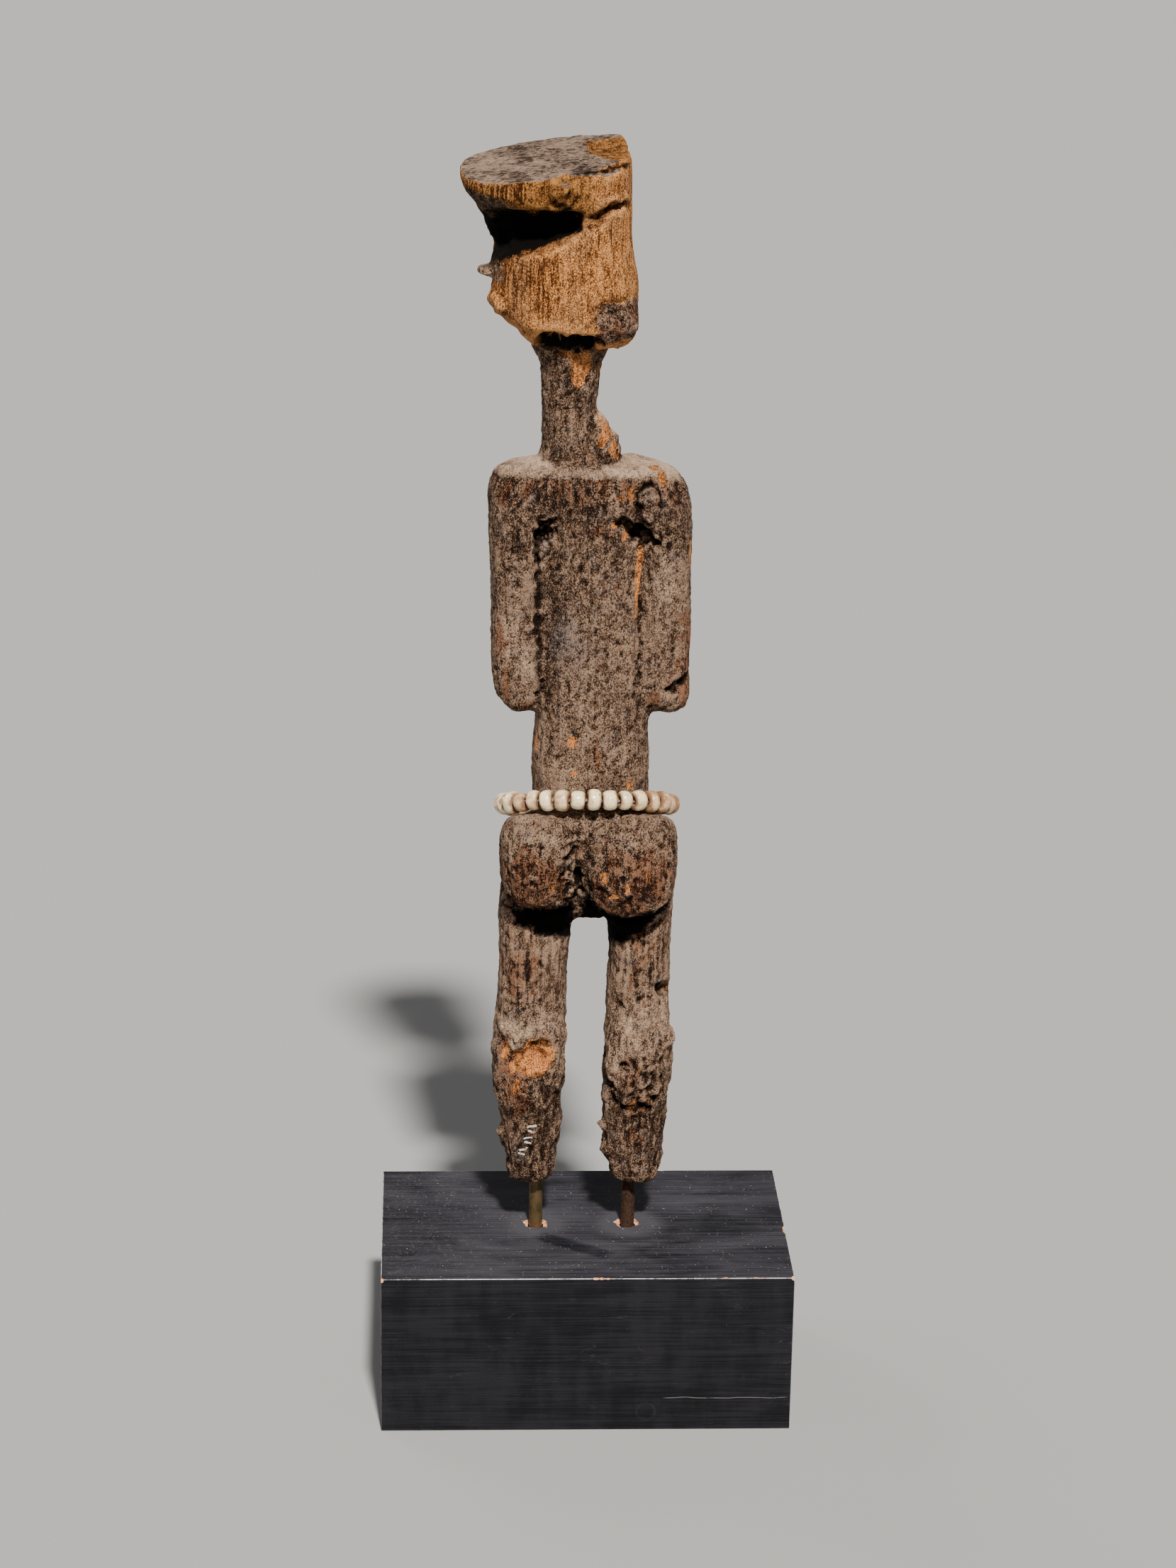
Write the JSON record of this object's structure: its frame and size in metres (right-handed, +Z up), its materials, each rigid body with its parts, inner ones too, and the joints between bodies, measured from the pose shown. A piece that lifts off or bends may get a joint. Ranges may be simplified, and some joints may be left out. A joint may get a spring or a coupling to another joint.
{
  "type": "carved wooden standing figure on a base",
  "caption": "Worn carved wooden standing figure, seen best from behind, with a string of beads at its hips, held on rods over a black block.",
  "frame": {"origin": "middle of the block's underside, on the surface it stands on", "axes": "+Z up through the figure, -Y out of its front, +Y out of its back, +X to the left hand of someone facing its back"},
  "size_m": [0.094, 0.058, 0.291],
  "materials": {
    "carved_wood": "dry, pitted old wood with dust and raw orange scars",
    "black_painted_wood": "matt black paint with fine brush lines",
    "old_brass": "dull and browned",
    "ivory_glass": "opaque ivory glass, satin, with brown dirt",
    "cotton_thread": "dirty twisted cotton"
  },
  "bodies": {
    "root": {"figure": "carved_wood", "plinth": "black_painted_wood", "rod_left": "old_brass", "rod_right": "old_brass", "thread": "cotton_thread", "bead_01": "ivory_glass", "bead_02": "ivory_glass", "bead_03": "ivory_glass", "bead_04": "ivory_glass", "bead_05": "ivory_glass", "bead_06": "ivory_glass", "bead_07": "ivory_glass", "bead_08": "ivory_glass", "bead_09": "ivory_glass", "bead_10": "ivory_glass", "bead_11": "ivory_glass", "bead_12": "ivory_glass", "bead_13": "ivory_glass", "bead_14": "ivory_glass", "bead_15": "ivory_glass", "bead_16": "ivory_glass", "bead_17": "ivory_glass", "bead_18": "ivory_glass", "bead_19": "ivory_glass", "bead_20": "ivory_glass", "bead_21": "ivory_glass", "bead_22": "ivory_glass", "bead_23": "ivory_glass", "bead_24": "ivory_glass", "bead_25": "ivory_glass", "bead_26": "ivory_glass", "bead_27": "ivory_glass", "bead_28": "ivory_glass", "bead_29": "ivory_glass", "bead_30": "ivory_glass", "bead_31": "ivory_glass"}
  },
  "joints": []
}
